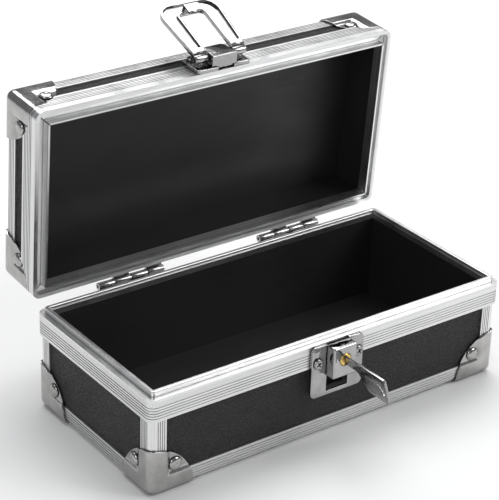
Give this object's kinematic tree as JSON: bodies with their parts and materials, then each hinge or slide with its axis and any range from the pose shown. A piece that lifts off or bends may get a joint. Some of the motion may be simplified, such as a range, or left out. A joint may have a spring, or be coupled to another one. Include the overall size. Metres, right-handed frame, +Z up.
{
  "type": "lockable card and cash box",
  "caption": "Small aluminium-framed black case with hinged lid, metal corner caps, swing-over hasp and key lock, for cards, cash or gifts.",
  "frame": {"origin": "centre of the base's footprint, in the plane of the base corner caps' undersides", "axes": "+X to the right along the width, -Y towards the lock side, +Z up; lid open on its stop at rest"},
  "size_m": [0.172, 0.1395, 0.1477],
  "materials": {
    "textured_board": "fine leather-grain film on fibreboard, semi-matt",
    "lining": "smooth semi-matt plastic sheet",
    "aluminium": "satin extruded, fine lengthwise lines",
    "cap_steel": "nickel-plated pressed steel, soft polish",
    "chrome": "bright plated",
    "brass": "turned",
    "key_steel": "stamped flat steel, bright edges"
  },
  "bodies": {
    "base": {"base_bottom_board": "textured_board", "base_front_board": "textured_board", "base_back_board": "textured_board", "base_left_board": "textured_board", "base_right_board": "textured_board", "base_lining": "lining", "base_rim": "aluminium", "base_edge_angle_front": "aluminium", "base_edge_angle_back": "aluminium", "base_edge_angle_left": "aluminium", "base_edge_angle_right": "aluminium", "base_corner_post_front_left": "aluminium", "base_corner_post_back_left": "aluminium", "base_corner_post_front_right": "aluminium", "base_corner_post_back_right": "aluminium", "base_corner_cap_front_left": "cap_steel", "base_corner_cap_back_left": "cap_steel", "base_corner_cap_front_right": "cap_steel", "base_corner_cap_back_right": "cap_steel", "base_cap_rivets": "cap_steel", "hinge_base_leaf_left": "chrome", "hinge_base_leaf_right": "chrome", "hinge_pin_left": "chrome", "hinge_pin_right": "chrome", "hinge_base_rivets": "chrome", "lock_plate": "chrome", "lock_housing": "chrome", "lock_screws": "chrome"},
    "lid": {"lid_top_board": "textured_board", "lid_front_board": "textured_board", "lid_back_board": "textured_board", "lid_left_board": "textured_board", "lid_right_board": "textured_board", "lid_lining": "lining", "lid_rim": "aluminium", "lid_edge_angle_front": "aluminium", "lid_edge_angle_back": "aluminium", "lid_edge_angle_left": "aluminium", "lid_edge_angle_right": "aluminium", "lid_corner_post_front_left": "aluminium", "lid_corner_post_back_left": "aluminium", "lid_corner_post_front_right": "aluminium", "lid_corner_post_back_right": "aluminium", "lid_corner_cap_front_left": "cap_steel", "lid_corner_cap_back_left": "cap_steel", "lid_corner_cap_front_right": "cap_steel", "lid_corner_cap_back_right": "cap_steel", "lid_cap_rivets": "cap_steel", "hinge_lid_leaf_left": "chrome", "hinge_lid_leaf_right": "chrome", "hinge_lid_rivets": "chrome", "hasp_plate": "chrome", "hasp_block": "chrome", "hasp_pin": "chrome", "hasp_screws": "chrome"},
    "hasp": {"hasp_loop": "chrome"},
    "plug": {"lock_plug": "brass", "lock_cam": "chrome"},
    "key": {"lock_key": "key_steel"}
  },
  "joints": [
    {"name": "lid_hinge", "type": "hinge", "parent": "base", "child": "lid", "pos_m": [0, 0.0439, 0.04315], "axis": [1, 0, 0], "range_deg": [0, 85.8]},
    {"name": "hasp_swing", "type": "hinge", "parent": "lid", "child": "hasp", "pos_m": [0, 0.0419, 0.13254], "axis": [1, 0, 0], "range_deg": [0, 160]},
    {"name": "plug_turn", "type": "hinge", "parent": "base", "child": "plug", "pos_m": [0, -0.0445, 0.0362], "axis": [0, 1, 0], "range_deg": [0, 90]},
    {"name": "key_pull", "type": "slide", "parent": "plug", "child": "key", "axis": [0, -1, 0], "range_m": [0, 0.012]}
  ]
}
